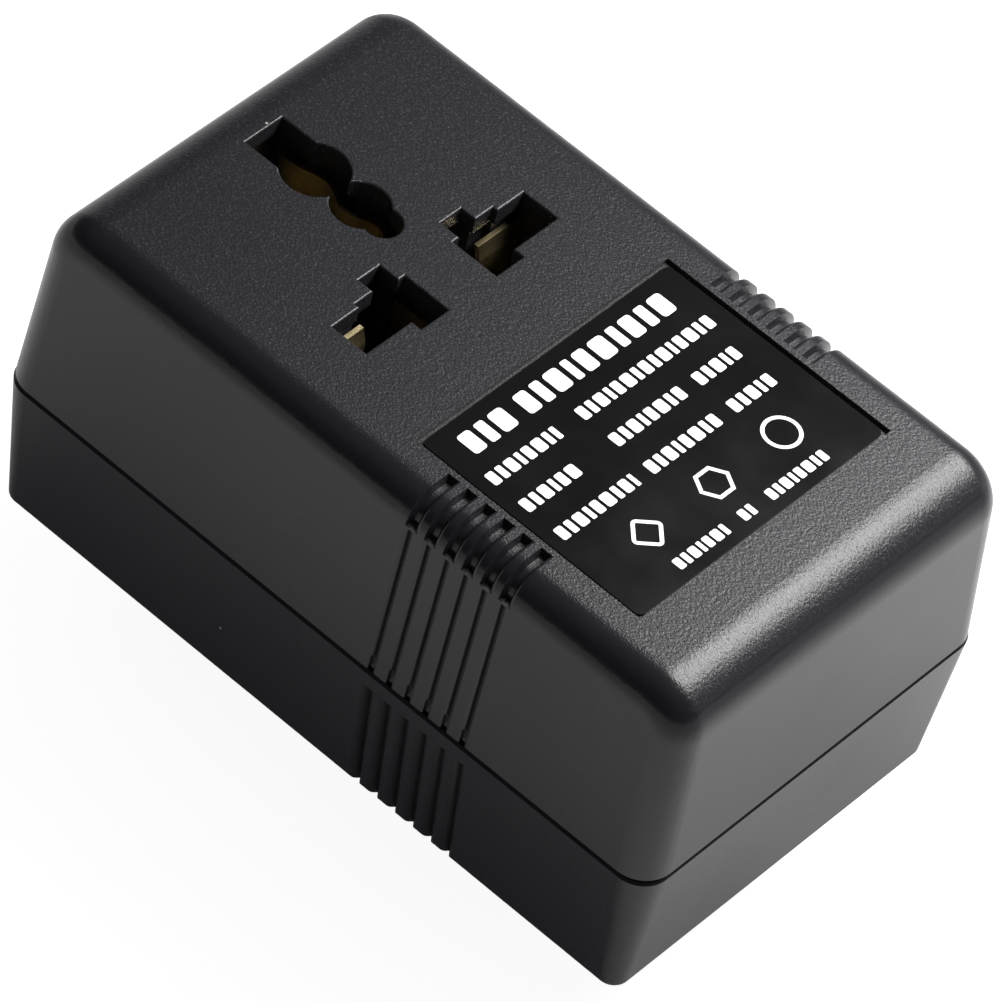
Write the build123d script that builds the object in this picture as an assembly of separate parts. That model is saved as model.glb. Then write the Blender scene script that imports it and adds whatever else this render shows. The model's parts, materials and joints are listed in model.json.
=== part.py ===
from build123d import *
import math
import os

# Travel voltage converter: a two-part moulded case with a transformer at one end,
# and a multi-standard outlet with the input pins below it at the other end.
# Millimetres. The origin is the centre of the back face, +Z points out of the outlet,
# +X points to the label end, and the input pins reach below the back face.

# Case, outside
body_length = 93.0
body_width = 55.3
lower_height = 19.6
upper_height = 26.1
upper_draft = 3.1
lower_end_draft = 4.3
lower_side_draft = 5.7
corner_radius = 4.0
end_fillet = 6.2
seam_radius = 3.6
base_radius = 2.0
base_fillet = 0.8

# Case, inside
wall = 2.2
inner_base_radius = 1.0
seam_gap = 0.45
seam_chamfer = 0.3
tongue_height = 2.4
lip_thickness = 1.1
fit_clearance = 0.1
overrun = 1.0
skin = 0.02

# Grip ribs on both long sides
groove_count = 6
groove_first_x = 7.7
groove_pitch = 2.6
top_groove_rim = 0.7
top_groove_depth = 0.95
top_groove_left = 0.6
top_groove_right = 0.88
top_groove_floor = 0.33
top_groove_sharp_lip = 0.1
top_groove_round_lip = 0.62
wall_groove_half = 0.42
wall_groove_depth = 0.58
wall_groove_lip = 0.6
seam_notch_width = 0.8
seam_notch_height = 2.0
seam_notch_depth = 0.6
low_groove_start = 2.4
low_groove_half = 0.72
low_groove_depth = 0.9
low_groove_lip = 1.0

# Label and its recess
label_centre_x = 17.5
recess_length = 31.4
recess_width = 39.8
recess_depth = 0.6
label_edge_gap = 0.45
label_thickness = 0.25
label_corner = 0.8

# Outlet apertures
line_from_end = 34.4
slot_left = 5.1
slot_right = 3.8
slot_inner = 3.8
slot_inner_left = 4.8
slot_outer = 8.0
stem_left = 2.4
stem_right = 2.4
stem_outer = 15.0
step_left = 3.05
step_outer = 10.8
earth_slot_reach = 26.35
earth_slot_half = 2.85
earth_big_reach = 18.9
earth_big_radius = 3.9
earth_small_reach = 12.3
earth_small_radius = 3.35
earth_lobe_reach = 9.1
earth_lobe_radius = 2.2
aperture_edge = 0.25

# Contact carrier and its cover
carrier_left_margin = 1.45
carrier_right_margin = 2.7
carrier_half_width = 17.6
carrier_height = 21.4
carrier_floor = 1.6
carrier_radius = 1.5
pocket_margin = 1.0
ear_spacing = 18.0
ear_inset = 6.9
ear_length = 7.0
ear_edge = 2.7

# Contacts
strip = 0.6
contact_below_top = 4.6
leaf_bow = 0.75
tab_width = 3.0
tab_height = 7.0
tab_reach = 2.0
tab_rise = 4.0
tab_y = 11.0
earth_leaf_gap = 1.5
earth_leaf_swing = 1.1

# Input pins and what holds them
pin_from_end = 15.5
pin_spacing = 19.0
pin_diameter = 4.8
pin_length = 19.0
pin_nose_radius = 1.4
pin_seat_radius = 2.7
pin_relief_radius = 2.0
pin_relief_height = 0.4
pin_flange_diameter = 8.4
pin_flange_height = 1.5
stud_diameter = 4.0
stud_height = 8.6
retainer_length = 12.0
retainer_edge = 3.0
retainer_height = 3.0
retainer_screw_reach = 7.1
lug_thickness = 0.6
lug_diameter = 7.6
lug_tail = 2.0
lug_barrel_length = 5.0
lug_barrel_diameter = 2.6
nut_across_flats = 7.0
nut_height = 3.0

# Transformer core, a stack of I and E laminations
lead_bay = 9.2
core_end_gap = 8.9
yoke_width = 6.8
middle_leg_half = 6.8
outer_leg_width = 6.8
window_width = 6.8
core_stack = 24.0
core_mid_z = 22.8
core_hole_radius = 1.7
core_air = 0.1

# Bobbin and windings
bobbin_wall = 1.0
bobbin_clearance = 0.25
bobbin_reach = 6.5
primary_thickness = 2.5
tape_thickness = 0.3
secondary_thickness = 1.9
wrap_thickness = 0.4
winding_corner = 1.2
terminal_diameter = 0.9
terminal_length = 3.2
terminal_y = 10.5
terminal_edge = 2.0

# Screws
screw_radius = 1.3
screw_head_radius = 2.4
screw_head_height = 1.8
screw_length = 18.0
screw_recess_radius = 2.8
screw_recess_depth = 8.0
screw_drive_width = 0.8
screw_drive_length = 3.0
screw_drive_depth = 0.9
boss_inset_x = 6.3
boss_inset_y = 6.1
boss_radius = 2.5
low_boss_radius = 3.7
low_boss_height = 7.4
core_screw_radius = 1.5
core_screw_head_radius = 2.8
core_screw_head_height = 1.9
core_screw_length = 30.0
post_radius = 3.2
small_screw_radius = 1.1
small_screw_head_radius = 2.0
small_screw_head_height = 1.3
small_screw_length = 5.0
small_boss_radius = 2.6

# Leads
lead_diameter = 1.5
fuse_diameter = 3.9
fuse_length = 9.0
fuse_lead_diameter = 1.0
fuse_lead_length = 2.0
pin_lead_length = 3.0
arc_share = 0.45

seam_z = lower_height
top_z = lower_height + upper_height
ceiling_z = top_z - wall
pin_x = pin_from_end - body_length / 2
pin_y = pin_spacing / 2
retainer_screw_y = pin_y + retainer_screw_reach
retainer_half_width = retainer_screw_y + retainer_edge
boss_x = body_length / 2 - boss_inset_x
boss_y = body_width / 2 - boss_inset_y
line_x = line_from_end - body_length / 2
earth_end_x = line_x - earth_slot_reach
earth_big_x = line_x - earth_big_reach
earth_small_x = line_x - earth_small_reach
earth_lobe_x = line_x - earth_lobe_reach
carrier_left = earth_end_x - carrier_left_margin
carrier_right = line_x + slot_right + carrier_right_margin
ear_x = (earth_big_x, earth_big_x + ear_spacing)
ear_y = body_width / 2 - ear_inset
carrier_bottom = ceiling_z - carrier_height
contact_top = top_z - contact_below_top
core_half_width = middle_leg_half + window_width + outer_leg_width
core_left = carrier_right + lead_bay
core_right = body_length / 2 - core_end_gap
window_left = core_left + yoke_width
window_right = core_right - yoke_width
bobbin_left = window_left + core_air
bobbin_right = window_right - core_air
bobbin_half_width = middle_leg_half + window_width - bobbin_clearance
former_y = middle_leg_half + bobbin_clearance
former_z = core_stack / 2 + bobbin_clearance
flange_z = core_stack / 2 + bobbin_reach
terminal_x = bobbin_left - terminal_length
terminal_low_z = core_mid_z - flange_z + terminal_edge
terminal_high_z = core_mid_z + flange_z - terminal_edge
lug_z = wall + pin_flange_height + retainer_height
barrel_z = lug_z + lug_barrel_diameter / 2
lug_end_x = pin_x + lug_diameter / 2 + lug_tail + lug_barrel_length
fuse_start_x = lug_end_x + pin_lead_length
grooves_x = [groove_first_x + i * groove_pitch for i in range(groove_count)]
sides = (-1, 1)


def wall_inset(z, lower_draft=lower_side_draft):
    """How far a drafted wall stands in from the seam outline at height z."""
    if z >= seam_z:
        return (z - seam_z) * math.tan(math.radians(upper_draft))
    return (seam_z - z) * math.tan(math.radians(lower_draft))


def outline_size(z, inward):
    """Length and width of the case's outline at height z, moved inward by a wall."""
    length = body_length - 2 * (wall_inset(z, lower_end_draft) + inward)
    return length, body_width - 2 * (wall_inset(z) + inward)


def outline(z, radius, inward=0):
    return Pos(0, 0, z) * RectangleRounded(*outline_size(z, inward), radius)


def upper_form(inward, bottom, top):
    """A drafted block with wide rounds over its ends, then rounds up and along its sides."""
    form = loft([Pos(0, 0, z) * Rectangle(*outline_size(z, inward)) for z in (bottom, top)], ruled=True)
    form = fillet(form.edges().filter_by(Axis.Y).group_by(Axis.Z)[-1], end_fillet - inward)
    walls = form.faces().sort_by(Axis.Y)
    edges = [edge for wall_face in (walls[0], walls[-1]) for edge in wall_face.edges()]
    edges = [edge for edge in edges if edge.center().Z > bottom + skin]
    return fillet(edges, corner_radius - inward)


def lower_form(inward, bottom, corner, edge=skin):
    """A drafted block whose corners tighten towards the base, with a bevel at the seam."""
    levels = [
        outline(bottom, corner, inward),
        outline(seam_z - edge, seam_radius - inward, inward),
        outline(seam_z, seam_radius - inward - edge, inward + edge),
    ]
    return loft(levels, ruled=True)


def rim_ring(outer_in, inner_in, bottom, height):
    """An upright ring that follows the seam outline between two insets."""
    outer = outline(seam_z, seam_radius - outer_in, outer_in)
    inner = outline(seam_z, seam_radius - inner_in, inner_in)
    return extrude(Pos(0, 0, bottom - seam_z) * (outer - inner), height)


def groove_profile(left, right, floor_left, floor_right, depth, lip_left, lip_right):
    """A groove's section: X along the case, Y out of its surface."""
    reach = groove_pitch / 2
    points = [
        (-reach, overrun),
        (-reach, skin),
        (-left, skin),
        (-floor_left, -depth),
        (floor_right, -depth),
        (right, skin),
        (reach, skin),
        (reach, overrun),
    ]
    shape = make_face(Polyline(*points, close=True))
    corners = shape.vertices().group_by(Axis.Y)[1].sort_by(Axis.X)
    shape = fillet(corners[1], lip_left)
    corners = shape.vertices().filter_by(lambda v: abs(v.Y - skin) < skin / 2).sort_by(Axis.X)
    return fillet(corners[-2], lip_right)


def top_groove(side):
    """Cutter for one groove from the label rim over the top edge to the side wall."""
    draft = math.radians(upper_draft)
    edge_y = body_width / 2 - wall_inset(top_z)
    tangent = corner_radius * math.tan((math.pi / 2 - draft) / 2)
    centre_y = edge_y - tangent
    start_y = recess_width / 2 + top_groove_rim
    centre_z = top_z - corner_radius
    turn = 90 - upper_draft
    over_edge = Plane(origin=(0, centre_y, centre_z), x_dir=(0, 0, 1), z_dir=(-1, 0, 0))
    flat_run = Edge.make_line((0, start_y, top_z), (0, centre_y, top_z))
    path = Wire([flat_run, Edge.make_circle(corner_radius, over_edge, 0, turn)])
    section = groove_profile(
        top_groove_left,
        top_groove_right,
        top_groove_floor,
        top_groove_floor,
        top_groove_depth,
        top_groove_sharp_lip,
        top_groove_round_lip,
    )
    plane = Plane(origin=(0, start_y, top_z), x_dir=(1, 0, 0), z_dir=(0, -1, 0))
    cutter = sweep(plane * section, path=path)
    return cutter if side > 0 else mirror(cutter, Plane.XZ)


def wall_groove(side, half, depth, lip, low_z, high_z):
    """Cutter for one groove that runs down a drafted side wall."""
    rise = high_z - low_z
    lean = wall_inset(high_z) - wall_inset(low_z)
    section = groove_profile(half, half, skin, skin, depth, lip, lip)
    plane = Plane(
        origin=(0, body_width / 2 - wall_inset(low_z), low_z), x_dir=(1, 0, 0), z_dir=(0, 0, 1)
    )
    cutter = extrude(plane * section, rise / math.cos(math.atan2(lean, rise)), dir=(0, -lean, rise))
    return cutter if side > 0 else mirror(cutter, Plane.XZ)


def seam_notch(side):
    notch = Box(
        seam_notch_width,
        2 * seam_notch_depth,
        seam_notch_height,
        align=(Align.CENTER, Align.CENTER, Align.MIN),
    )
    return Pos(0, side * body_width / 2, seam_z + seam_gap - skin) * notch


def line_aperture(side, margin=0, left=slot_left, right=slot_right):
    """Plan of one line aperture: a wide blade slot and a stem for round and square pins."""
    stem = (slot_inner - margin, stem_outer + margin, stem_left + margin, stem_right + margin)
    step = (slot_inner_left - margin, step_outer + margin, step_left + margin, stem_right + margin)
    wide = (slot_inner_left - margin, slot_outer + margin, left + margin, right + margin)
    near = (slot_inner - margin, slot_outer + margin, stem_left + margin, right + margin)
    plan = Sketch()
    for low, high, to_left, to_right in (stem, step, wide, near):
        patch = Rectangle(to_left + to_right, high - low)
        middle = Pos(line_x + (to_right - to_left) / 2, side * (low + high) / 2)
        plan += middle * patch
    return plan


def earth_aperture(margin=0):
    """Plan of the earth aperture: a pin slot, two round lobes and an end lobe."""
    slot_length = earth_big_x - earth_end_x
    plan = Pos(earth_end_x + slot_length / 2 - margin / 2, 0) * Rectangle(
        slot_length + margin, 2 * (earth_slot_half + margin)
    )
    lobes = (
        (earth_big_x, earth_big_radius),
        (earth_small_x, earth_small_radius),
        (earth_lobe_x, earth_lobe_radius),
    )
    for x, radius in lobes:
        plan += Pos(x, 0) * Circle(radius + margin)
    return plan


def upright(plan, low, high):
    """A plan raised between two heights."""
    return extrude(Pos(0, 0, low) * plan, high - low)


def rod(radius, low, high, x=0, y=0):
    return Pos(x, y, low) * Cylinder(radius, high - low, align=(Align.CENTER, Align.CENTER, Align.MIN))


def slab(x0, x1, y0, y1, z0, z1):
    return Pos((x0 + x1) / 2, (y0 + y1) / 2, (z0 + z1) / 2) * Box(x1 - x0, y1 - y0, z1 - z0)


def screw_hole(radius, low, high, x, y):
    return rod(radius + fit_clearance / 2, low, high, x, y)


def corner_places():
    return [(sx * boss_x, sy * boss_y) for sx in sides for sy in sides]


def ear_places():
    return [(x, side * ear_y) for x in ear_x for side in sides]


def core_hole_places():
    hole_x = (core_left + yoke_width / 2, core_right - yoke_width / 2)
    return [(x, side * (core_half_width - outer_leg_width / 2)) for x in hole_x for side in sides]


def top_shell():
    shell = upper_form(0, seam_z, top_z)
    shell -= upper_form(wall, seam_z, ceiling_z)
    post_bottom = wall + low_boss_height
    for x, y in corner_places():
        shell += rod(boss_radius, post_bottom, ceiling_z + skin, x, y)
    for x, y in ear_places():
        shell += rod(small_boss_radius, carrier_bottom, ceiling_z + skin, x, y)
    shell -= rim_ring(lip_thickness, wall + overrun, seam_z - overrun, overrun + tongue_height)
    shell -= rim_ring(-overrun, lip_thickness + skin, seam_z - overrun, overrun + seam_gap)
    screw_end = screw_recess_depth + screw_length
    for x, y in corner_places():
        shell -= screw_hole(screw_radius, post_bottom - overrun, screw_end + overrun, x, y)
    for x, y in ear_places():
        depth = small_screw_length + overrun
        shell -= screw_hole(small_screw_radius, carrier_bottom - overrun, carrier_bottom + depth, x, y)
    apertures = earth_aperture() + line_aperture(-1) + line_aperture(1)
    shell -= upright(apertures, ceiling_z - overrun, top_z + overrun)
    face = shell.faces().filter_by(Plane.XY).sort_by(Axis.Z)[-1]
    shell = fillet(face.inner_wires().edges(), aperture_edge)
    shell -= Pos(label_centre_x, 0, top_z - recess_depth) * Box(
        recess_length, recess_width, 2 * recess_depth, align=(Align.CENTER, Align.CENTER, Align.MIN)
    )
    wall_top = top_z - corner_radius
    for side in sides:
        over_top = top_groove(side)
        down_wall = wall_groove(
            side, wall_groove_half, wall_groove_depth, wall_groove_lip, seam_z, wall_top + skin
        )
        notch = seam_notch(side)
        for x in grooves_x:
            shell -= Pos(x, 0, 0) * over_top
            shell -= Pos(x, 0, 0) * down_wall
            shell -= Pos(x, 0, 0) * notch
    return shell


def bottom_shell():
    outer = lower_form(0, 0, base_radius, seam_chamfer)
    outer = fillet(outer.faces().sort_by(Axis.Z)[0].edges(), base_fillet)
    shell = outer - lower_form(wall, wall, inner_base_radius)
    shell += rim_ring(lip_thickness + fit_clearance, wall, seam_z - skin, tongue_height + skin)
    for x, y in corner_places():
        shell += rod(low_boss_radius, 0, wall + low_boss_height, x, y) & outer
    for x, y in core_hole_places():
        shell += rod(post_radius, wall - skin, core_mid_z - core_stack / 2, x, y)
    for side in sides:
        shell += rod(
            small_boss_radius, wall - skin, wall + pin_flange_height, pin_x, side * retainer_screw_y
        )
    for x, y in corner_places():
        shell -= rod(screw_recess_radius, -overrun, screw_recess_depth, x, y)
        shell -= rod(screw_radius + fit_clearance, 0, seam_z, x, y)
    for x, y in core_hole_places():
        shell -= screw_hole(core_screw_radius, wall, seam_z, x, y)
    for side in sides:
        shell -= screw_hole(pin_seat_radius, -overrun, wall + overrun, pin_x, side * pin_y)
        shell -= screw_hole(small_screw_radius, wall / 2, seam_z, pin_x, side * retainer_screw_y)
        cutter = wall_groove(
            side,
            low_groove_half,
            low_groove_depth,
            low_groove_lip,
            -overrun,
            seam_z - low_groove_start,
        )
        for x in grooves_x:
            shell -= Pos(x, 0, 0) * cutter
    return shell


def rating_label():
    plan = RectangleRounded(
        recess_length - 2 * label_edge_gap, recess_width - 2 * label_edge_gap, label_corner
    )
    return Pos(label_centre_x, 0, top_z - recess_depth) * extrude(plan, label_thickness)


def carrier_plan():
    middle = Pos((carrier_left + carrier_right) / 2, 0)
    return middle * RectangleRounded(carrier_right - carrier_left, 2 * carrier_half_width, carrier_radius)


def contact_carrier():
    pockets = earth_aperture(pocket_margin)
    pockets += line_aperture(-1, pocket_margin) + line_aperture(1, pocket_margin)
    block = upright(carrier_plan(), carrier_bottom, ceiling_z)
    block &= upper_form(wall + fit_clearance, seam_z, ceiling_z)
    block -= upright(pockets, carrier_bottom - overrun, ceiling_z + overrun)
    slot_top = carrier_bottom + tab_height + strip + fit_clearance
    half = tab_width / 2 + fit_clearance
    for side in sides:
        block -= slab(
            line_x,
            carrier_right + overrun,
            side * tab_y - half,
            side * tab_y + half,
            carrier_bottom - overrun,
            slot_top,
        )
    return block


def carrier_cover():
    plan = carrier_plan()
    for x in ear_x:
        plan += Pos(x, 0) * RectangleRounded(ear_length, 2 * (ear_y + ear_edge), carrier_radius)
    plate = upright(plan, carrier_bottom - carrier_floor, carrier_bottom)
    for x, y in ear_places():
        plate -= screw_hole(small_screw_radius, 0, top_z, x, y)
    return plate


def bowed_leaf(outer_x, inward):
    """Side view of a contact leaf in XZ: upright, bowed inward near its top."""
    foot_z = carrier_bottom
    reach = contact_top - foot_z
    leaf_shares = ((0, 0), (0.55, 0), (0.8, 1), (0.9, 1), (1, 0.2))
    outer = [(outer_x + inward * leaf_bow * bow, foot_z + rise * reach) for rise, bow in leaf_shares]
    inner = [(x + inward * strip, z) for x, z in reversed(outer)]
    return make_face(Polyline(*outer, *inner, close=True))


def line_contact(side):
    """Brass contact of one line aperture: foot, two bowed leaves, a blade leaf and a tab."""
    clear = pocket_margin - fit_clearance
    leaf_low = slot_outer + pocket_margin
    leaf_high = stem_outer + clear
    left_x = line_x - stem_left - clear
    right_x = line_x + stem_right + clear
    middle_y = side * (leaf_low + leaf_high) / 2
    plane = Plane(origin=(0, middle_y, 0), x_dir=(1, 0, 0), z_dir=(0, -1, 0))
    blade_y = slot_inner - clear
    foot_ys = sorted((side * blade_y, side * leaf_high))
    contact = slab(left_x, right_x, *foot_ys, carrier_bottom, carrier_bottom + strip)
    for outer_x, inward in ((left_x, 1), (right_x, -1)):
        leaf = extrude(plane * bowed_leaf(outer_x, inward), (leaf_high - leaf_low) / 2, both=True)
        contact += leaf
    blade_ys = sorted((side * blade_y, side * (blade_y + strip)))
    blade_right = line_x + slot_right - fit_clearance
    contact += slab(left_x, blade_right, *blade_ys, carrier_bottom, contact_top)
    tab_z = carrier_bottom + tab_height
    tab_x = carrier_right + tab_reach
    tab_ys = (side * tab_y - tab_width / 2, side * tab_y + tab_width / 2)
    contact += slab(right_x - strip, tab_x, *tab_ys, tab_z, tab_z + strip)
    contact += slab(tab_x - strip, tab_x, *tab_ys, tab_z, tab_z + tab_rise)
    return contact


def earth_leaf_plan(side):
    """A wavy strip that follows the earth aperture's lobes."""
    neck_x = (earth_big_x + earth_big_radius + earth_small_x - earth_small_radius) / 2
    wide = earth_leaf_gap + earth_leaf_swing
    start_x = earth_end_x + strip
    places = (
        (start_x, wide),
        ((start_x + earth_big_x) / 2, wide),
        (earth_big_x, wide + earth_leaf_swing / 2),
        (neck_x, earth_leaf_gap),
        (earth_small_x, wide),
        (earth_lobe_x, earth_leaf_gap / 2),
    )
    inner = [(x, side * y) for x, y in places]
    outer = [(x, side * (y + strip)) for x, y in places]
    edges = [
        Spline(*inner),
        Line(inner[-1], outer[-1]),
        Spline(*reversed(outer)),
        Line(outer[0], inner[0]),
    ]
    return make_face(edges)


def earth_contact():
    contact = upright(earth_leaf_plan(-1) + earth_leaf_plan(1), carrier_bottom, contact_top)
    half = earth_leaf_gap + earth_leaf_swing + strip / 2
    foot_left = earth_end_x + strip
    contact += slab(foot_left, earth_big_x, -half, half, carrier_bottom, carrier_bottom + strip)
    return contact


def pin(side):
    """A round input pin: nose, shaft, relief, seat in the floor, flange on it and stud inside."""
    shaft = rod(pin_diameter / 2, -pin_length, -pin_relief_height)
    shaft = fillet(shaft.faces().sort_by(Axis.Z)[0].edges(), pin_nose_radius)
    shaft += rod(pin_relief_radius, -pin_relief_height, 0)
    shaft += rod(pin_seat_radius, 0, wall)
    shaft += rod(pin_flange_diameter / 2, wall, wall + pin_flange_height)
    stud_bottom = wall + pin_flange_height
    shaft += rod(stud_diameter / 2, stud_bottom, stud_bottom + stud_height)
    return Pos(pin_x, side * pin_y, 0) * shaft


def pin_retainer():
    low = wall + pin_flange_height
    plate = slab(
        pin_x - retainer_length / 2,
        pin_x + retainer_length / 2,
        -retainer_half_width,
        retainer_half_width,
        low,
        low + retainer_height,
    )
    plate = fillet(plate.edges().filter_by(Axis.Z), carrier_radius)
    for side in sides:
        plate -= screw_hole(stud_diameter / 2, 0, seam_z, pin_x, side * pin_y)
        plate -= screw_hole(small_screw_radius, 0, seam_z, pin_x, side * retainer_screw_y)
    return plate


def pin_terminal(side):
    """A ring lug on the pin's stud with a crimp barrel towards the transformer."""
    ring = rod(lug_diameter / 2, lug_z, lug_z + lug_thickness)
    tail_end = lug_diameter / 2 + lug_tail
    ring += slab(0, tail_end + skin, -tab_width / 2, tab_width / 2, lug_z, lug_z + lug_thickness)
    ring -= screw_hole(stud_diameter / 2, 0, seam_z, 0, 0)
    barrel = Pos(tail_end + lug_barrel_length / 2, 0, barrel_z) * (
        Rot(0, 90, 0) * Cylinder(lug_barrel_diameter / 2, lug_barrel_length)
    )
    return Pos(pin_x, side * pin_y, 0) * (ring + barrel)


def pin_nut(side):
    low = lug_z + lug_thickness
    flat_radius = nut_across_flats / 2
    nut = upright(RegularPolygon(flat_radius, 6, major_radius=False), low, low + nut_height)
    nut -= screw_hole(stud_diameter / 2, 0, seam_z, 0, 0)
    return Pos(pin_x, side * pin_y, 0) * nut


def drive_cut(z, depth, share=1):
    """Crossed drive slots, cut into a screw head from its face at z."""
    long_side = screw_drive_length * share
    cross = Rectangle(long_side, screw_drive_width * share) + Rectangle(
        screw_drive_width * share, long_side
    )
    return extrude(Pos(0, 0, z) * cross, depth)


def screw(radius, length, head_radius, head_height):
    """A pan-head screw, head up, with the underside of its head at z 0."""
    head = rod(head_radius, 0, head_height)
    head = fillet(head.faces().sort_by(Axis.Z)[-1].edges(), head_height / 2)
    body = rod(radius, -length, 0)
    body = chamfer(body.faces().sort_by(Axis.Z)[0].edges(), radius / 2)
    share = head_radius / screw_head_radius
    return head + body - drive_cut(head_height, -screw_drive_depth * share, share)


def housing_screws():
    upright_screw = screw(screw_radius, screw_length, screw_head_radius, screw_head_height)
    one = Rot(180, 0, 0) * upright_screw
    return [Pos(x, y, screw_recess_depth) * one for x, y in corner_places()]


def core_screws():
    one = screw(core_screw_radius, core_screw_length, core_screw_head_radius, core_screw_head_height)
    return [Pos(x, y, core_mid_z + core_stack / 2) * one for x, y in core_hole_places()]


def small_screw():
    return screw(
        small_screw_radius, small_screw_length, small_screw_head_radius, small_screw_head_height
    )


def cover_screws():
    one = Rot(180, 0, 0) * small_screw()
    return [Pos(x, y, carrier_bottom - carrier_floor) * one for x, y in ear_places()]


def retainer_screws():
    one = small_screw()
    return [Pos(pin_x, side * retainer_screw_y, lug_z) * one for side in sides]


def core_block(x0, x1):
    half = core_stack / 2
    return slab(x0, x1, -core_half_width, core_half_width, core_mid_z - half, core_mid_z + half)


def core_holes(block):
    for x, y in core_hole_places():
        block -= rod(core_hole_radius, 0, top_z, x, y)
    return block


def i_laminations():
    return core_holes(core_block(core_left, window_left))


def e_laminations():
    block = core_block(window_left, core_right)
    low = core_mid_z - core_stack / 2 - overrun
    high = core_mid_z + core_stack / 2 + overrun
    for side in sides:
        ys = sorted((side * middle_leg_half, side * (middle_leg_half + window_width)))
        block -= slab(core_left, window_right, *ys, low, high)
    return core_holes(block)


def sleeve(inner_y, inner_z, thickness, x0, x1, corner):
    """A rounded rectangular tube along X, round the core's middle leg."""
    plane = Plane(origin=(x0, 0, core_mid_z), x_dir=(0, 1, 0), z_dir=(1, 0, 0))
    outer = RectangleRounded(2 * (inner_y + thickness), 2 * (inner_z + thickness), corner + thickness)
    inner = RectangleRounded(2 * inner_y, 2 * inner_z, corner)
    return extrude(plane * (outer - inner), x1 - x0)


def bobbin():
    former = sleeve(former_y, former_z, bobbin_wall, bobbin_left, bobbin_right, bobbin_clearance)
    opening = slab(
        bobbin_left, bobbin_right, -former_y, former_y, core_mid_z - former_z, core_mid_z + former_z
    )
    for x in (bobbin_left, bobbin_right - bobbin_wall):
        flange = slab(
            x,
            x + bobbin_wall,
            -bobbin_half_width,
            bobbin_half_width,
            core_mid_z - flange_z,
            core_mid_z + flange_z,
        )
        former += flange - opening
    return former


def winding(start, thickness):
    """One layer of the coil, from a distance outside the bobbin's tube."""
    base = bobbin_wall + start
    return sleeve(
        former_y + base,
        former_z + base,
        thickness,
        bobbin_left + bobbin_wall,
        bobbin_right - bobbin_wall,
        winding_corner + start,
    )


def bobbin_terminals():
    pins = []
    for z in (terminal_low_z, terminal_high_z):
        for side in sides:
            peg = Rot(0, 90, 0) * Cylinder(terminal_diameter / 2, terminal_length)
            pins.append(Pos(terminal_x + terminal_length / 2, side * terminal_y, z) * peg)
    return pins


def foam_pad():
    return slab(
        bobbin_left,
        bobbin_right,
        -bobbin_half_width,
        bobbin_half_width,
        core_mid_z + flange_z,
        ceiling_z,
    )


def lead(name, points, diameter=lead_diameter):
    """A round lead on straight runs joined by arcs as large as its runs allow."""
    points = [Vector(*p) for p in points]
    runs = [b - a for a, b in zip(points, points[1:])]
    radii = []
    for first, second in zip(runs, runs[1:]):
        turn = math.radians(first.get_angle(second))
        radii.append(arc_share * min(first.length, second.length) / math.tan(turn / 2))
    path = FilletPolyline(*points, radius=radii) if radii else Line(*points)
    start = Plane(origin=points[0], z_dir=runs[0])
    solid = sweep(start * Circle(diameter / 2), path=path)
    expected = math.pi * diameter**2 / 4 * path.length
    print(name, "radii", [round(r, 1) for r in radii], "volume ratio", round(solid.volume / expected, 4))
    return solid


def input_route(side):
    """From a pin's lug, under the yoke, to the coil's lower terminal on one side."""
    return [
        (lug_end_x, side * pin_y, barrel_z),
        (-14.4, side * pin_y, barrel_z),
        (-8.2, side * 9.8, 7.3),
        (-2.6, side * 10.2, 6.7),
        (2.4, side * terminal_y, terminal_low_z),
        (terminal_x, side * terminal_y, terminal_low_z),
    ]


def output_route(side):
    """From the coil's upper terminal over the yoke and down to a contact's tab."""
    tab_x = carrier_right + tab_reach - strip / 2
    tab_z = carrier_bottom + tab_height + tab_rise
    return [
        (terminal_x, side * terminal_y, terminal_high_z),
        (4.2, side * terminal_y, terminal_high_z),
        (1.0, side * 10.6, 39.0),
        (-1.9, side * 10.8, 37.9),
        (tab_x, side * tab_y, 35.8),
        (tab_x, side * tab_y, tab_z),
    ]


def thermal_fuse():
    """A sleeved thermal fuse with a short lead at each end, along X."""
    length = fuse_length + 2 * fuse_lead_length
    body = Rot(0, 90, 0) * Cylinder(fuse_diameter / 2, fuse_length)
    body = fillet(body.edges(), fuse_lead_diameter / 2)
    wire = Rot(0, 90, 0) * Cylinder(fuse_lead_diameter / 2, length)
    return Pos(fuse_start_x + length / 2, -pin_y, barrel_z) * (body + wire)


def live_pin_route():
    """A short lead from the live pin's lug to the fuse."""
    return [(lug_end_x, -pin_y, barrel_z), (fuse_start_x, -pin_y, barrel_z)]


def fuse_route():
    """From the fuse, under the yoke, to the coil's lower live terminal."""
    start_x = fuse_start_x + fuse_length + 2 * fuse_lead_length
    return [
        (start_x, -pin_y, barrel_z),
        (-1.0, -pin_y, barrel_z),
        (3.6, -terminal_y, terminal_low_z),
        (terminal_x, -terminal_y, terminal_low_z),
    ]


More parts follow.
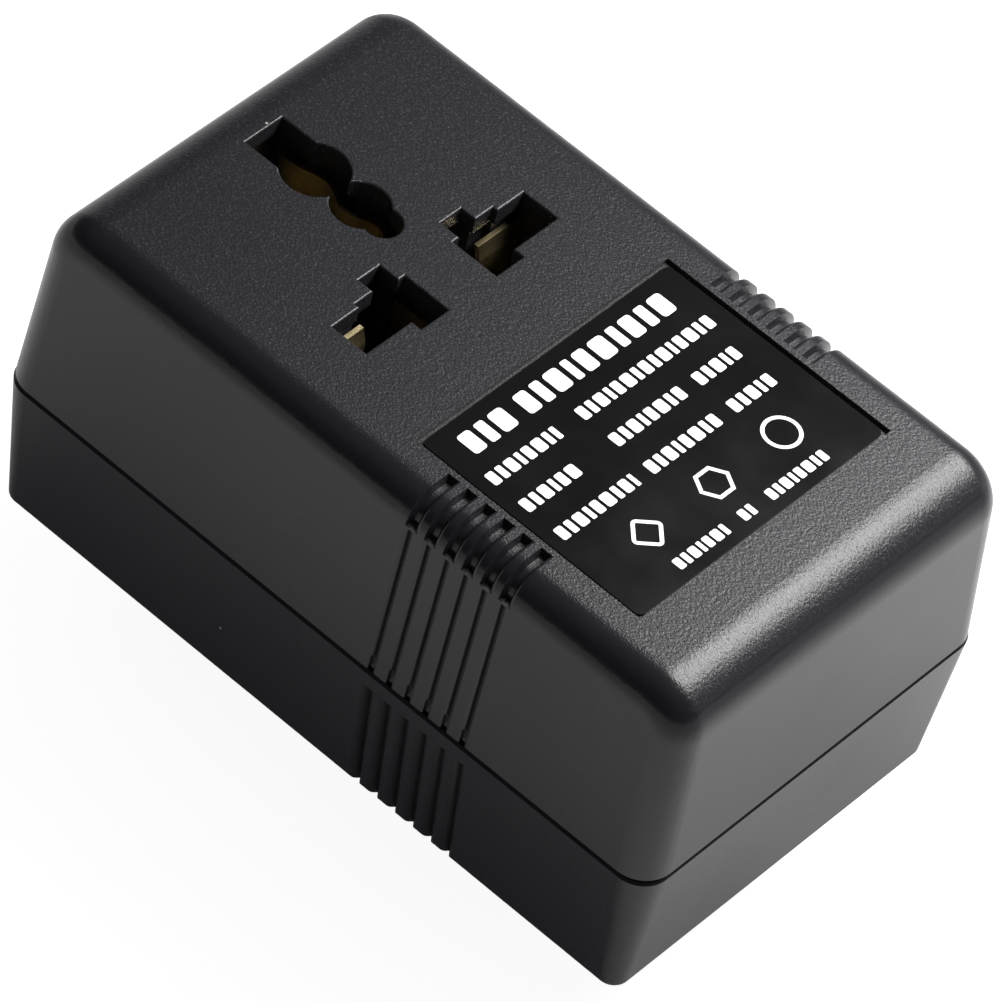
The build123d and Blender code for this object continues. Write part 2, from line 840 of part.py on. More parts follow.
def nodes():
    """Every sub-part by name."""
    level = 0
    parts = {
        "top_shell": top_shell(),
        "bottom_shell": bottom_shell(),
        "rating_label": rating_label(),
        "contact_carrier": contact_carrier(),
        "carrier_cover": carrier_cover(),
        "carrier_screws": cover_screws(),
        "live_contact": line_contact(-1),
        "neutral_contact": line_contact(1),
        "earth_contact": earth_contact(),
        "live_plug_pin": pin(-1),
        "neutral_plug_pin": pin(1),
        "pin_retainer": pin_retainer(),
        "retainer_screws": retainer_screws(),
        "pin_terminals": [pin_terminal(side) for side in sides],
        "pin_nuts": [pin_nut(side) for side in sides],
        "i_laminations": i_laminations(),
        "e_laminations": e_laminations(),
        "bobbin": bobbin(),
        "bobbin_terminals": bobbin_terminals(),
        "transformer_screws": core_screws(),
        "foam_pad": foam_pad(),
        "thermal_fuse": thermal_fuse(),
        "housing_screws": housing_screws(),
    }
    layers = (
        ("primary_winding", primary_thickness),
        ("insulation_tape", tape_thickness),
        ("secondary_winding", secondary_thickness),
        ("winding_wrap", wrap_thickness),
    )
    for name, thickness in layers:
        parts[name] = winding(level, thickness)
        level += thickness
    parts["live_pin_lead"] = lead("live_pin_lead", live_pin_route())
    parts["live_fuse_lead"] = lead("live_fuse_lead", fuse_route())
    parts["neutral_pin_lead"] = lead("neutral_pin_lead", input_route(1))
    parts["live_outlet_lead"] = lead("live_outlet_lead", output_route(-1))
    parts["neutral_outlet_lead"] = lead("neutral_outlet_lead", output_route(1))
    return parts


os.makedirs("parts", exist_ok=True)
for name, shape in nodes().items():
    if isinstance(shape, list):
        shape = Compound(children=[piece.solid() for piece in shape])
    export_step(shape, f"parts/{name}.step")
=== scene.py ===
import bpy
import json
import math
from mathutils import Matrix, Vector


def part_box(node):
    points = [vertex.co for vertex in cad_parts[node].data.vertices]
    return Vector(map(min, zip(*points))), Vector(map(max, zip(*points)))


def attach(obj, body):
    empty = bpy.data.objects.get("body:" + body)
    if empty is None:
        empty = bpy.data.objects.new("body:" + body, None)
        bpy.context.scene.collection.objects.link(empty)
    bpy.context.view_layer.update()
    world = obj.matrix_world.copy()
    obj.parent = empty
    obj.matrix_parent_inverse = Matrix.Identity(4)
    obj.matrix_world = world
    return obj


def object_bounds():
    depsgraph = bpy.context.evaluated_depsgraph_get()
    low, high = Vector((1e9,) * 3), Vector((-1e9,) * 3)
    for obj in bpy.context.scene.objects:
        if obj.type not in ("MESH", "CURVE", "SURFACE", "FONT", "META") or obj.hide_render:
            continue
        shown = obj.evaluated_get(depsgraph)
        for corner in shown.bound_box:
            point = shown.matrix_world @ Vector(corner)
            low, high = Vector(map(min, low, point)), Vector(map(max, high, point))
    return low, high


# Travel voltage converter: the looks of its case, label, contacts, pins and inner pieces.
# Metres, in the same frame as the solids: +Z out of the outlet, +X to the label end.

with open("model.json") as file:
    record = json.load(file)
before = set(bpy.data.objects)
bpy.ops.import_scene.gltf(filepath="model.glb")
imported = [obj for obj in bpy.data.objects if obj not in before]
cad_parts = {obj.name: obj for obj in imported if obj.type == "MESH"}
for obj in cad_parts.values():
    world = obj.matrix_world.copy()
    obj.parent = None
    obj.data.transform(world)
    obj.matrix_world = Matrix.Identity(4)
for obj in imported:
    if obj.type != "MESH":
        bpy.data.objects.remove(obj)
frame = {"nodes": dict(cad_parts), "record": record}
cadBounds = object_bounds()
mm = 0.001
print("frame loaded:", len(frame["nodes"]), "nodes")


# Shader helpers. A value is a plain one, or another node's output, which is then linked.
def setSockets(tree, node, values):
    for key, value in values.items():
        if isinstance(value, bpy.types.NodeSocket):
            tree.links.new(value, node.inputs[key])
        else:
            node.inputs[key].default_value = value


def addNode(tree, kind, values, **settings):
    node = tree.nodes.new(kind)
    for key, value in settings.items():
        setattr(node, key, value)
    setSockets(tree, node, values)
    return node


def mathNode(tree, operation, *values):
    return addNode(tree, "ShaderNodeMath", dict(enumerate(values)), operation=operation).outputs[0]


def vectorMath(tree, operation, *values):
    return addNode(tree, "ShaderNodeVectorMath", dict(enumerate(values)), operation=operation).outputs


def mapRange(tree, value, low, high, start=0.0, end=1.0, shape="LINEAR"):
    limits = {"Value": value, "From Min": low, "From Max": high, "To Min": start, "To Max": end}
    return addNode(tree, "ShaderNodeMapRange", limits, interpolation_type=shape).outputs["Result"]


def smoothStep(tree, value, low, high, start=0.0, end=1.0):
    return mapRange(tree, value, low, high, start, end, "SMOOTHSTEP")


def noise(tree, place, scale, detail, rough=0.5):
    values = {"Vector": place, "Scale": scale, "Detail": detail, "Roughness": rough}
    return addNode(tree, "ShaderNodeTexNoise", values).outputs["Fac"]


# A Mix node has its factor at 0, its plain values at 2 and 3 and its colours at 6 and 7
def mixColor(tree, factor, first, second):
    values = {0: factor, 6: first, 7: second}
    return addNode(tree, "ShaderNodeMix", values, data_type="RGBA").outputs[2]


def mixValue(tree, factor, first, second):
    values = {0: factor, 2: first, 3: second}
    return addNode(tree, "ShaderNodeMix", values, data_type="FLOAT").outputs[0]


# Heights are in metres, so the bump's own distance is 1
def bump(tree, shader, height, strength):
    node = addNode(tree, "ShaderNodeBump", {"Height": height, "Strength": strength, "Distance": 1.0})
    setSockets(tree, shader, {"Normal": node.outputs["Normal"]})


def newMaterial(name):
    material = bpy.data.materials.new(name)
    material.use_nodes = True
    tree = material.node_tree
    place = tree.nodes.new("ShaderNodeTexCoord").outputs["Object"]
    return material, tree, tree.nodes["Principled BSDF"], place


# Shader groups: effects that several materials share. Each input has a usual value.
def newGroup(name, inputs, outputs):
    group = bpy.data.node_groups.new(name, "ShaderNodeTree")
    for label, value in inputs.items():
        kind = "NodeSocketVector" if isinstance(value, tuple) else "NodeSocketFloat"
        group.interface.new_socket(label, in_out="INPUT", socket_type=kind).default_value = value
    for label in outputs:
        group.interface.new_socket(label, in_out="OUTPUT", socket_type="NodeSocketFloat")
    return group, group.nodes.new("NodeGroupInput").outputs, group.nodes.new("NodeGroupOutput")


def useGroup(tree, group, place, values):
    return addNode(tree, "ShaderNodeGroup", {"Vector": place, **values}, node_tree=group).outputs


# Fine spark-eroded grain: its height, and its tips alone, which the case lightens as a painted highlight
grainMix = {"coarseScaleShare": 0.42, "coarseHeightShare": 0.5, "tipRise": 0.12}


def mouldedGrainGroup():
    group, given, end = newGroup(
        "mouldedGrain",
        {
            "Vector": (0.0, 0.0, 0.0),
            "Grain per metre": 2600.0,
            "Stretch": (1.0, 1.0, 1.0),
            "Tip level": 0.62,
        },
        ("Height", "Tips"),
    )
    stretched = vectorMath(group, "MULTIPLY", given["Vector"], given["Stretch"])[0]
    fine = noise(group, stretched, given["Grain per metre"], 2.0, 0.55)
    coarseScale = mathNode(group, "MULTIPLY", given["Grain per metre"], grainMix["coarseScaleShare"])
    coarse = noise(group, stretched, coarseScale, 2.0, 0.6)
    height = mathNode(group, "MULTIPLY_ADD", coarse, grainMix["coarseHeightShare"], fine)
    tipTop = mathNode(group, "ADD", given["Tip level"], grainMix["tipRise"])
    tips = mapRange(group, fine, given["Tip level"], tipTop)
    setSockets(group, end, {"Height": height, "Tips": tips})
    return group


# A few tiny pale specks of dust
bareCellShare = 0.72


def dustSpecksGroup():
    group, given, end = newGroup(
        "dustSpecks",
        {"Vector": (0.0, 0.0, 0.0), "Specks per metre": 160.0, "Speck size": 0.026},
        ("Mask",),
    )
    values = {"Vector": given["Vector"], "Scale": given["Specks per metre"], "Randomness": 1.0}
    cells = addNode(group, "ShaderNodeTexVoronoi", values).outputs
    near = mathNode(group, "LESS_THAN", cells["Distance"], given["Speck size"])
    chance = addNode(group, "ShaderNodeSeparateColor", {"Color": cells["Color"]}).outputs[0]
    few = mathNode(group, "GREATER_THAN", chance, bareCellShare)
    setSockets(group, end, {"Mask": mathNode(group, "MULTIPLY", near, few)})
    return group


# Slow changes of sheen and tone that moulded or plated surfaces have, and a finer one
satinMix = {"patchLow": 0.3, "patchHigh": 0.7, "finePerPatch": 22.0}


def satinVariationGroup():
    group, given, end = newGroup(
        "satinVariation",
        {"Vector": (0.0, 0.0, 0.0), "Patches per metre": 45.0, "Low": 0.0, "High": 1.0},
        ("Value", "Fine"),
    )
    patches = noise(group, given["Vector"], given["Patches per metre"], 4.0)
    limits = (satinMix["patchLow"], satinMix["patchHigh"], given["Low"], given["High"])
    fineScale = mathNode(group, "MULTIPLY", given["Patches per metre"], satinMix["finePerPatch"])
    fine = noise(group, given["Vector"], fineScale, 2.0)
    setSockets(group, end, {"Value": mapRange(group, patches, *limits), "Fine": fine})
    return group


# Drawn, rolled or turned lines along one direction
def brushedLinesGroup():
    group, given, end = newGroup(
        "brushedLines",
        {"Vector": (0.0, 0.0, 0.0), "Stretch": (1.0, 20.0, 20.0), "Lines per metre": 400.0},
        ("Value",),
    )
    stretched = vectorMath(group, "MULTIPLY", given["Vector"], given["Stretch"])[0]
    setSockets(group, end, {"Value": noise(group, stretched, given["Lines per metre"], 3.0, 0.6)})
    return group


grainGroup = mouldedGrainGroup()
dustGroup = dustSpecksGroup()
satinGroup = satinVariationGroup()
linesGroup = brushedLinesGroup()
print("shader groups made")


# Camera, at the photograph's angle
cameraSettings = {
    "eye": (0.31208, -0.49990, 0.66918),
    "aim": (0.00055, 0.00093, 0.0196),
    "lean": math.radians(13.75),  # the object's uprights lean to the left at the foot
    "lens": 296.4,
    "sensor": 36.0,
    "clipStart": 0.01,
    "clipEnd": 20,
}


# The turn that points -Z from a place at a target
def turnTowards(place, target):
    return (Vector(target) - Vector(place)).to_track_quat("-Z", "Y")


def addCamera():
    eye = cameraSettings["eye"]
    bpy.ops.object.camera_add(location=eye)
    camera = bpy.context.object
    camera.name = "photoCamera"
    level = turnTowards(eye, cameraSettings["aim"]).to_matrix().to_4x4()
    lean = Matrix.Rotation(cameraSettings["lean"], 4, "Z")
    camera.matrix_world = Matrix.Translation(eye) @ level @ lean
    camera.data.lens = cameraSettings["lens"]
    camera.data.sensor_width = cameraSettings["sensor"]
    camera.data.clip_start = cameraSettings["clipStart"]
    camera.data.clip_end = cameraSettings["clipEnd"]
    bpy.context.scene.camera = camera


# Studio: soft boxes, a white surround, a pale floor with a painted shadow round the object, and a dark
# dome that only reflections see
lampAim = (0.01, 0.0, 0.02)
lampSettings = {
    "keyBox": {"place": (0.062, 0.133, 0.231), "width": 0.165, "height": 0.14, "power": 1.4},
    "fillBox": {"place": (-0.5, -0.4, 0.6), "width": 0.5, "height": 0.5, "power": 0.03},
}
worldSettings = {
    "fill": {"Color": (0.92, 0.94, 1.0, 1), "Strength": 0.28},  # lights the object
    "seen": {"Color": (1, 1, 1, 1), "Strength": 1.0},
}
floorSettings = {
    "radius": 3.0,
    "sides": 96,
    "color": (0.70, 0.70, 0.70, 1),
    # Painted shadow: the floor's colour darkens close to the object
    "paintedShadowColor": (0.40, 0.40, 0.40, 1),  # close to the object, where it keeps the light off
    "paintedShadowReach": 0.055,
    "cameraLift": 0.9,
    "glossyLift": 0.26,
    "gap": 0.1 * mm,
}
flagSettings = {
    "radius": 1.6,
    "segments": 32,
    "rings": 16,
    "low": 5,  # degrees above the level of the object's back
    "card": {"Base Color": (0.01, 0.01, 0.01, 1), "Roughness": 1.0, "Specular IOR Level": 0.0},
}


def addLamps():
    for name, lamp in lampSettings.items():
        bpy.ops.object.light_add(type="AREA", location=lamp["place"])
        light = bpy.context.object
        light.name = name
        light.data.shape = "RECTANGLE"
        light.data.size = lamp["width"]
        light.data.size_y = lamp["height"]
        light.data.energy = lamp["power"]
        light.visible_camera = False
        light.rotation_euler = turnTowards(lamp["place"], lampAim).to_euler()


# 1 on the rays that metal and glass send out
def mirrorRays(tree, path):
    return mathNode(tree, "MAXIMUM", path["Is Glossy Ray"], path["Is Transmission Ray"])


def addWorld():
    world = bpy.data.worlds.new("studioWorld")
    bpy.context.scene.world = world
    world.use_nodes = True
    tree = world.node_tree
    tree.nodes.clear()
    fill = addNode(tree, "ShaderNodeBackground", worldSettings["fill"])
    white = addNode(tree, "ShaderNodeBackground", worldSettings["seen"])
    path = tree.nodes.new("ShaderNodeLightPath").outputs
    seen = mathNode(tree, "MAXIMUM", path["Is Camera Ray"], mirrorRays(tree, path))
    mixed = {"Fac": seen, 1: fill.outputs[0], 2: white.outputs[0]}
    mix = addNode(tree, "ShaderNodeMixShader", mixed)
    addNode(tree, "ShaderNodeOutputWorld", {"Surface": mix.outputs[0]})


# 0 under the object's outline, 1 from some way out: the reach of the painted shadow on the floor
def paintedShadowRamp(tree):
    place = tree.nodes.new("ShaderNodeTexCoord").outputs["Object"]
    half = [max(abs(low), abs(high)) for low, high in zip(*cadBounds)]
    outside = vectorMath(tree, "SUBTRACT", vectorMath(tree, "ABSOLUTE", place)[0], half)[0]
    outside = vectorMath(tree, "MAXIMUM", outside, (0, 0, 0))[0]
    away = vectorMath(tree, "LENGTH", outside)["Value"]
    return smoothStep(tree, away, 0.0, floorSettings["paintedShadowReach"])


def floorMaterial():
    material = bpy.data.materials.new("paleFloor")
    material.use_nodes = True
    tree = material.node_tree
    tree.nodes.clear()
    pastPaintedShadow = paintedShadowRamp(tree)
    # Painted shadow: the floor's colour darkens towards the object's outline
    color = mixColor(tree, pastPaintedShadow, floorSettings["paintedShadowColor"], floorSettings["color"])
    paper = addNode(tree, "ShaderNodeBsdfDiffuse", {"Color": color})
    path = tree.nodes.new("ShaderNodeLightPath").outputs
    camera = mathNode(tree, "MULTIPLY", path["Is Camera Ray"], floorSettings["cameraLift"])
    # Painted shadow in reflections: the floor's glow that the case reflects is dimmed close to the
    # object
    lift = mathNode(tree, "MULTIPLY", pastPaintedShadow, floorSettings["glossyLift"])
    mirrored = mathNode(tree, "MULTIPLY", mirrorRays(tree, path), lift)
    glow = addNode(tree, "ShaderNodeEmission", {"Strength": mathNode(tree, "MAXIMUM", camera, mirrored)})
    both = addNode(tree, "ShaderNodeAddShader", {0: paper.outputs[0], 1: glow.outputs[0]})
    addNode(tree, "ShaderNodeOutputMaterial", {"Surface": both.outputs[0]})
    return material


def addFloor():
    bpy.ops.mesh.primitive_circle_add(
        vertices=floorSettings["sides"],
        radius=floorSettings["radius"],
        fill_type="NGON",
        location=(0, 0, cadBounds[0][2] - floorSettings["gap"]),
    )
    floor = bpy.context.object
    floor.name = "studioFloor"
    floor.data.materials.append(floorMaterial())


def darkCard():
    material = bpy.data.materials.new("darkCard")
    material.use_nodes = True
    tree = material.node_tree
    setSockets(tree, tree.nodes["Principled BSDF"], flagSettings["card"])
    return material


def addFlag():
    radius = flagSettings["radius"]
    bpy.ops.mesh.primitive_uv_sphere_add(
        segments=flagSettings["segments"], ring_count=flagSettings["rings"], radius=radius
    )
    flag = bpy.context.object
    flag.name = "darkFlag"
    rim = (0, 0, radius * math.sin(math.radians(flagSettings["low"])))
    bpy.ops.object.mode_set(mode="EDIT")
    bpy.ops.mesh.select_all(action="SELECT")
    bpy.ops.mesh.bisect(plane_co=rim, plane_no=(0, 0, 1), clear_inner=True)
    bpy.ops.mesh.select_all(action="SELECT")
    bpy.ops.mesh.flip_normals()
    bpy.ops.object.mode_set(mode="OBJECT")
    flag.data.materials.append(darkCard())
    flag.visible_camera = False
    flag.visible_diffuse = False
    flag.visible_shadow = False


# Case: grained top face, satin sides
caseSettings = {
    "color": (0.0125, 0.0126, 0.0143, 1),
    "satin": {"Patches per metre": 60.0, "Low": -0.03, "High": 0.03},
    "sideRough": 0.27,
    "sideDepth": 0.012 * mm,
    "dustColor": (0.30, 0.30, 0.29, 1),
    "dust": {"Specks per metre": 160.0, "Speck size": 0.026},
    "grain": {"Grain per metre": 3900.0, "Stretch": (0.7, 1.3, 1.0), "Tip level": 0.56},
    "grainRough": 0.34,
    "grainDepth": 0.062 * mm,
    # Painted highlight on the grain's tips
    "paintedTipHighlightColor": (0.032, 0.032, 0.035, 1),
    "grainEdgeY": 23.4 * mm,
    "grainLowZ": 43.3 * mm,
    "grainSoft": 0.6 * mm,
    "bump": 1.0,
    "ior": 1.5,
    "specular": 0.42,
}


# 1 on the grained top face, fading at its long edges and partway down its end fillets
def grainMask(tree, place):
    axes = addNode(tree, "ShaderNodeSeparateXYZ", {"Vector": place}).outputs
    across = mathNode(tree, "ABSOLUTE", axes["Y"])
    edge = caseSettings["grainEdgeY"]
    low = caseSettings["grainLowZ"]
    soft = caseSettings["grainSoft"]
    inside = smoothStep(tree, across, edge - soft, edge + soft, 1.0, 0.0)
    high = smoothStep(tree, axes["Z"], low, low + soft)
    return mathNode(tree, "MULTIPLY", inside, high)


def caseMaterial(name, grained):
    material, tree, shader, place = newMaterial(name)
    satin = useGroup(tree, satinGroup, place, caseSettings["satin"])
    color = caseSettings["color"]
    rough = mathNode(tree, "ADD", satin["Value"], caseSettings["sideRough"])
    height = mathNode(tree, "MULTIPLY", satin["Fine"], caseSettings["sideDepth"])
    if grained:
        grain = useGroup(tree, grainGroup, place, caseSettings["grain"])
        mask = grainMask(tree, place)
        tips = mathNode(tree, "MULTIPLY", grain["Tips"], mask)
        # Partly real grain, partly painted highlight: the grain's bumps are real, its lighter tips are
        # painted highlight
        color = mixColor(tree, tips, color, caseSettings["paintedTipHighlightColor"])
        rough = mixValue(tree, mask, rough, caseSettings["grainRough"])
        grainHeight = mathNode(tree, "MULTIPLY", grain["Height"], caseSettings["grainDepth"])
        height = mixValue(tree, mask, height, grainHeight)
    dust = useGroup(tree, dustGroup, place, caseSettings["dust"])
    color = mixColor(tree, dust["Mask"], color, caseSettings["dustColor"])
    setSockets(tree, shader, {"Base Color": color, "Roughness": rough, "IOR": caseSettings["ior"]})
    setSockets(tree, shader, {"Specular IOR Level": caseSettings["specular"]})
    bump(tree, shader, height, caseSettings["bump"])
    return material


# Label: glossy black film
labelSettings = {
    "color": (0.005, 0.005, 0.0054, 1),
    "satin": {"Patches per metre": 90.0, "Low": -0.04, "High": 0.05},
    "rough": 0.17,
    "specular": 0.3,
    "dust": {"Specks per metre": 330.0, "Speck size": 0.05},
    "dustShare": 0.3,
    "rippleDepth": 0.003 * mm,
    "bump": 0.4,
}


def labelMaterial():
    material, tree, shader, place = newMaterial("labelFilm")
    satin = useGroup(tree, satinGroup, place, labelSettings["satin"])
    dust = useGroup(tree, dustGroup, place, labelSettings["dust"])
    faint = mathNode(tree, "MULTIPLY", dust["Mask"], labelSettings["dustShare"])
    color = mixColor(tree, faint, labelSettings["color"], caseSettings["dustColor"])
    rough = mathNode(tree, "ADD", satin["Value"], labelSettings["rough"])
    setSockets(tree, shader, {"Base Color": color, "Roughness": rough})
    setSockets(tree, shader, {"Specular IOR Level": labelSettings["specular"]})
    height = mathNode(tree, "MULTIPLY", satin["Fine"], labelSettings["rippleDepth"])
    bump(tree, shader, height, labelSettings["bump"])
    return material


# Metals: their lines run between shade and color
metalFinish = {
    "satin": {"Patches per metre": 200.0, "Low": -0.06, "High": 0.08},
    "shadeLevel": 0.35,
    "colorLevel": 0.65,
    "lineDepth": 0.01 * mm,
    "bump": 0.5,
}
metalSettings = {
    "contactBrass": {
        "color": (0.66, 0.55, 0.32, 1),
        "shade": (0.56, 0.46, 0.26, 1),
        "rough": 0.36,
        "lines": {"Stretch": (1.0, 1.0, 12.0), "Lines per metre": 300.0},
    },
    "nickelPin": {
        "color": (0.72, 0.70, 0.66, 1),
        "shade": (0.55, 0.53, 0.49, 1),
        "rough": 0.2,
        "lines": {"Stretch": (1.0, 1.0, 40.0), "Lines per metre": 120.0},
    },
    "zincScrew": {
        "color": (0.60, 0.60, 0.58, 1),
        "shade": (0.40, 0.40, 0.38, 1),
        "rough": 0.34,
        "lines": {"Stretch": (1.0, 1.0, 30.0), "Lines per metre": 150.0},
    },
    "tinnedLug": {
        "color": (0.70, 0.70, 0.70, 1),
        "shade": (0.52, 0.52, 0.52, 1),
        "rough": 0.3,
        "lines": {"Stretch": (1.0, 20.0, 20.0), "Lines per metre": 80.0},
    },
    "coreSteel": {
        "color": (0.30, 0.30, 0.31, 1),
        "shade": (0.10, 0.10, 0.11, 1),
        "rough": 0.45,
        "lines": {"Stretch": (0.02, 0.02, 30.0), "Lines per metre": 70.0},
    },
}


def metalMaterial(name):
    look = metalSettings[name]
    material, tree, shader, place = newMaterial(name)
    lines = useGroup(tree, linesGroup, place, look["lines"])["Value"]
    satin = useGroup(tree, satinGroup, place, metalFinish["satin"])
    tone = smoothStep(tree, lines, metalFinish["shadeLevel"], metalFinish["colorLevel"])
    color = mixColor(tree, tone, look["shade"], look["color"])
    rough = mathNode(tree, "ADD", satin["Value"], look["rough"])
    setSockets(tree, shader, {"Base Color": color, "Roughness": rough, "Metallic": 1.0})
    height = mathNode(tree, "MULTIPLY", lines, metalFinish["lineDepth"])
    bump(tree, shader, height, metalFinish["bump"])
    return material


# Plain inner plastics, foam, tapes and sleeves
innerFinish = {
    "satin": {"Patches per metre": 130.0, "Low": 0.0, "High": 1.0},
    "roughRange": 0.12,
    "depth": 0.03 * mm,
    "bump": 0.4,
}
innerSettings = {
    "carrierBlack": {"color": (0.012, 0.012, 0.013, 1), "shade": (0.02, 0.02, 0.021, 1), "rough": 0.5},
    "bobbinNylon": {"color": (0.72, 0.69, 0.60, 1), "shade": (0.62, 0.58, 0.48, 1), "rough": 0.45},
    "coilTape": {"color": (0.72, 0.58, 0.08, 1), "shade": (0.60, 0.45, 0.05, 1), "rough": 0.25},
    "padFoam": {"color": (0.05, 0.05, 0.05, 1), "shade": (0.02, 0.02, 0.02, 1), "rough": 0.9},
    "fuseBody": {"color": (0.75, 0.74, 0.70, 1), "shade": (0.60, 0.58, 0.52, 1), "rough": 0.35},
    "liveLead": {"color": (0.20, 0.08, 0.035, 1), "shade": (0.14, 0.05, 0.02, 1), "rough": 0.4},
    "neutralLead": {"color": (0.03, 0.10, 0.35, 1), "shade": (0.02, 0.07, 0.25, 1), "rough": 0.4},
}


def innerMaterial(name):
    look = innerSettings[name]
    material, tree, shader, place = newMaterial(name)
    satin = useGroup(tree, satinGroup, place, innerFinish["satin"])
    color = mixColor(tree, satin["Value"], look["shade"], look["color"])
    rough = mathNode(tree, "MULTIPLY_ADD", satin["Fine"], innerFinish["roughRange"], look["rough"])
    setSockets(tree, shader, {"Base Color": color, "Roughness": rough})
    height = mathNode(tree, "MULTIPLY", satin["Fine"], innerFinish["depth"])
    bump(tree, shader, height, innerFinish["bump"])
    return material


# Windings: one stripe for each turn of wire along X, with painted shade in the hollows between turns
windingSettings = {
    "color": (0.55, 0.20, 0.06, 1),
    "shade": (0.20, 0.06, 0.02, 1),
    "satin": {"Patches per metre": 150.0, "Low": 0.2, "High": 0.35},
    "metal": 0.6,
    "wire": 0.45 * mm,
    "wireDepth": 0.2 * mm,
    "bump": 0.8,
}


def windingMaterial():
    material, tree, shader, place = newMaterial("copperWinding")
    along = addNode(tree, "ShaderNodeSeparateXYZ", {"Vector": place}).outputs["X"]
    turn = mathNode(tree, "MULTIPLY", along, 2 * math.pi / windingSettings["wire"])
    wave = mathNode(tree, "MULTIPLY_ADD", mathNode(tree, "SINE", turn), 0.5, 0.5)
    # Painted shade: the colour darkens where the turns' bump sinks between them
    color = mixColor(tree, wave, windingSettings["shade"], windingSettings["color"])
    rough = useGroup(tree, satinGroup, place, windingSettings["satin"])["Value"]
    values = {"Base Color": color, "Roughness": rough, "Metallic": windingSettings["metal"]}
    setSockets(tree, shader, values)
    height = mathNode(tree, "MULTIPLY", wave, windingSettings["wireDepth"])
    bump(tree, shader, height, windingSettings["bump"])
    return material


def dressNodes():
    looks = {
        "case_top": caseMaterial("caseTop", True),
        "case_base": caseMaterial("caseBase", False),
        "label_film": labelMaterial(),
        "carrier_black": innerMaterial("carrierBlack"),
        "zinc_screw": metalMaterial("zincScrew"),
        "contact_brass": metalMaterial("contactBrass"),
        "nickel_pin": metalMaterial("nickelPin"),
        "tinned_lug": metalMaterial("tinnedLug"),
        "core_steel": metalMaterial("coreSteel"),
        "bobbin_nylon": innerMaterial("bobbinNylon"),
        "copper_winding": windingMaterial(),
        "coil_tape": innerMaterial("coilTape"),
        "pad_foam": innerMaterial("padFoam"),
        "fuse_body": innerMaterial("fuseBody"),
        "live_lead": innerMaterial("liveLead"),
        "neutral_lead": innerMaterial("neutralLead"),
    }
    for entry in frame["record"]["subparts"]:
        node = frame["nodes"][entry["node"]]
        node.data.materials.clear()
        node.data.materials.append(looks[entry["material_slot"]])


# Label print: rows of plain blocks and three plain outlines
printSettings = {
    "lift": 0.004 * mm,
    "ink": 0.02 * mm,
    "color": (0.86, 0.86, 0.84, 1),
    "worn": (0.74, 0.74, 0.73, 1),
    "satin": {"Patches per metre": 400.0, "Low": 0.0, "High": 1.0},
    "rough": 0.35,
    "roughRange": 0.1,
    "cornerShare": 0.22,
    "cornerSteps": 3,
    "blockShares": (0.62, 0.45, 0.7, 0.34, 0.58, 0.74, 0.4),
    "gapShare": 0.24,
    "line": 0.45 * mm,
    "markSteps": 4,
    # centre and height of each row along X, and where its runs of blocks start and end along Y,
    # in mm
    "rows": (
        (5.6, 3.0, ((-16.2, -9.2), (-7.6, 15.6))),
        (10.4, 1.8, ((-17.8, -7.2), (-3.8, 17.2))),
        (15.1, 1.8, ((-17.8, -8.9), (-3.8, 7.2), (9.4, 16.2))),
        (20.0, 1.8, ((-17.8, -5.8), (-3.8, 7.2), (9.4, 16.8))),
        (30.6, 1.5, ((-11.4, -3.0), (-1.2, 1.4), (3.2, 12.3))),
    ),
    # centre along X and Y and radius of each outline in mm, its corners, and their rounding in mm
    "marks": (
        (25.7, -10.4, 2.4, 4, 0.6),
        (25.7, 0.2, 2.3, 6, 0),
        (25.7, 11.0, 2.3, 32, 0),
    ),
}


# One run of blocks, whose widths take turns so that the row looks like print
def addBlocks(centre, height, start, end, level):
    shares = printSettings["blockShares"]
    gap = height * printSettings["gapShare"]
    pieces = []
    left = start
    while left < end - gap:
        wide = min(height * shares[len(pieces) % len(shares)], end - left)
        place = (centre * mm, (left + wide / 2) * mm, level)
        bpy.ops.mesh.primitive_plane_add(size=mm, location=place)
        pieces.append(bpy.context.object)
        bpy.ops.object.mode_set(mode="EDIT")
        bpy.ops.mesh.select_all(action="SELECT")
        bpy.ops.transform.resize(value=(height, wide, 1))
        corner = min(wide, height) * printSettings["cornerShare"] * mm
        bpy.ops.mesh.bevel(affect="VERTICES", offset=corner, segments=printSettings["cornerSteps"])
        bpy.ops.object.mode_set(mode="OBJECT")
        left += wide + gap
    return pieces


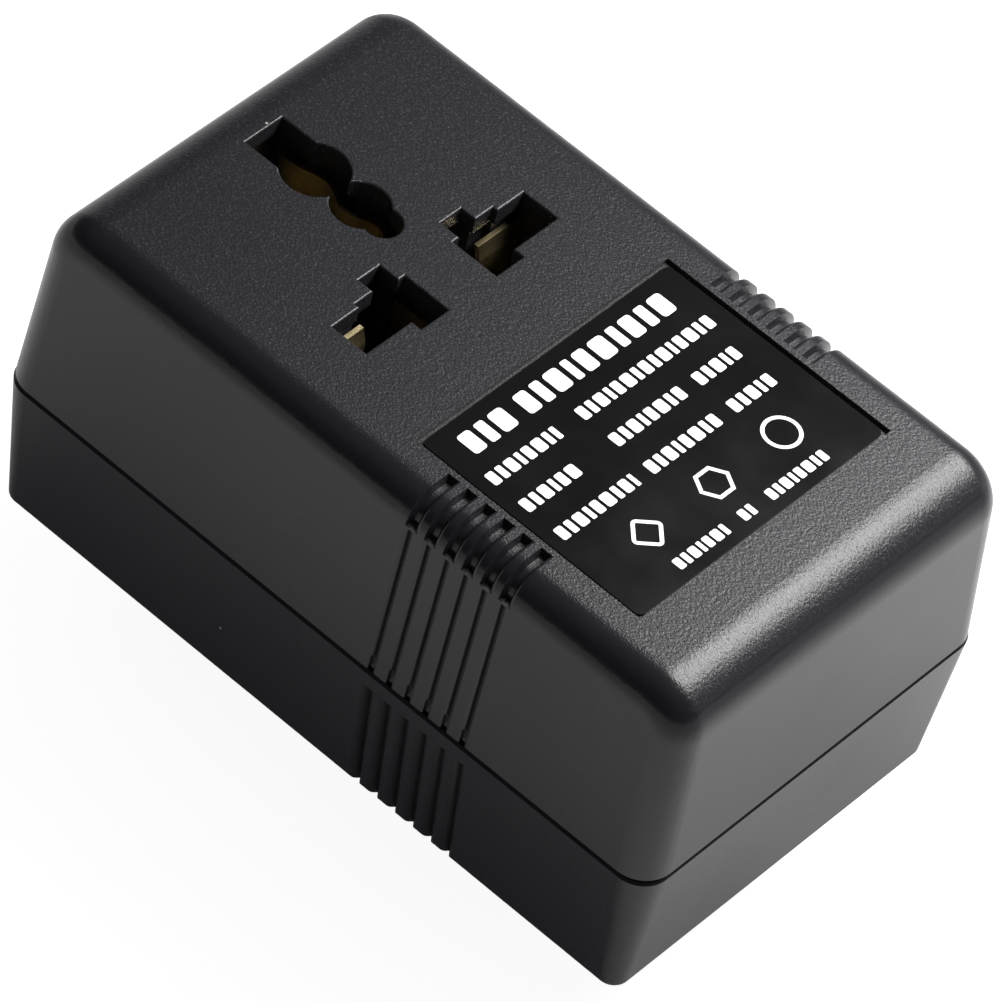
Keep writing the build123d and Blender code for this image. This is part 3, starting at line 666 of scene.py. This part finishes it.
def addMark(centreX, centreY, radius, corners, rounding, level):
    place = (centreX * mm, centreY * mm, level)
    bpy.ops.mesh.primitive_circle_add(
        vertices=corners, radius=radius * mm, fill_type="NGON", location=place
    )
    piece = bpy.context.object
    bpy.ops.object.mode_set(mode="EDIT")
    bpy.ops.mesh.select_all(action="SELECT")
    if rounding:
        steps = printSettings["markSteps"]
        bpy.ops.mesh.bevel(affect="VERTICES", offset=rounding * mm, segments=steps)
    bpy.ops.mesh.inset(thickness=printSettings["line"], depth=0)
    bpy.ops.mesh.delete(type="FACE")
    bpy.ops.object.mode_set(mode="OBJECT")
    return piece


def inkMaterial():
    material, tree, shader, place = newMaterial("labelInk")
    satin = useGroup(tree, satinGroup, place, printSettings["satin"])
    color = mixColor(tree, satin["Value"], printSettings["color"], printSettings["worn"])
    factors = (satin["Fine"], printSettings["roughRange"], printSettings["rough"])
    rough = mathNode(tree, "MULTIPLY_ADD", *factors)
    setSockets(tree, shader, {"Base Color": color, "Roughness": rough})
    return material


def addLabelPrint():
    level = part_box("rating_label")[1][2] + printSettings["lift"]
    bpy.ops.object.select_all(action="DESELECT")
    pieces = []
    for centre, height, runs in printSettings["rows"]:
        for start, end in runs:
            pieces += addBlocks(centre, height, start, end, level)
    for mark in printSettings["marks"]:
        pieces.append(addMark(*mark, level))
    for piece in pieces:
        piece.select_set(True)
    bpy.context.view_layer.objects.active = pieces[0]
    bpy.ops.object.join()
    ink = bpy.context.object
    ink.name = "labelPrint"
    bpy.ops.object.transform_apply(location=True, rotation=True, scale=True)
    thick = ink.modifiers.new("thickness", "SOLIDIFY")
    thick.thickness = printSettings["ink"]
    thick.offset = 1.0
    bpy.ops.object.modifier_apply(modifier="thickness")
    ink.data.materials.append(inkMaterial())
    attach(ink, "root")
    print("label print:", len(ink.data.polygons), "faces")


addCamera()
addLamps()
addWorld()
addFloor()
addFlag()
print("camera, lights and floor placed")
dressNodes()
print("materials given to the nodes")
addLabelPrint()

bpy.context.scene.view_settings.view_transform = "Standard"
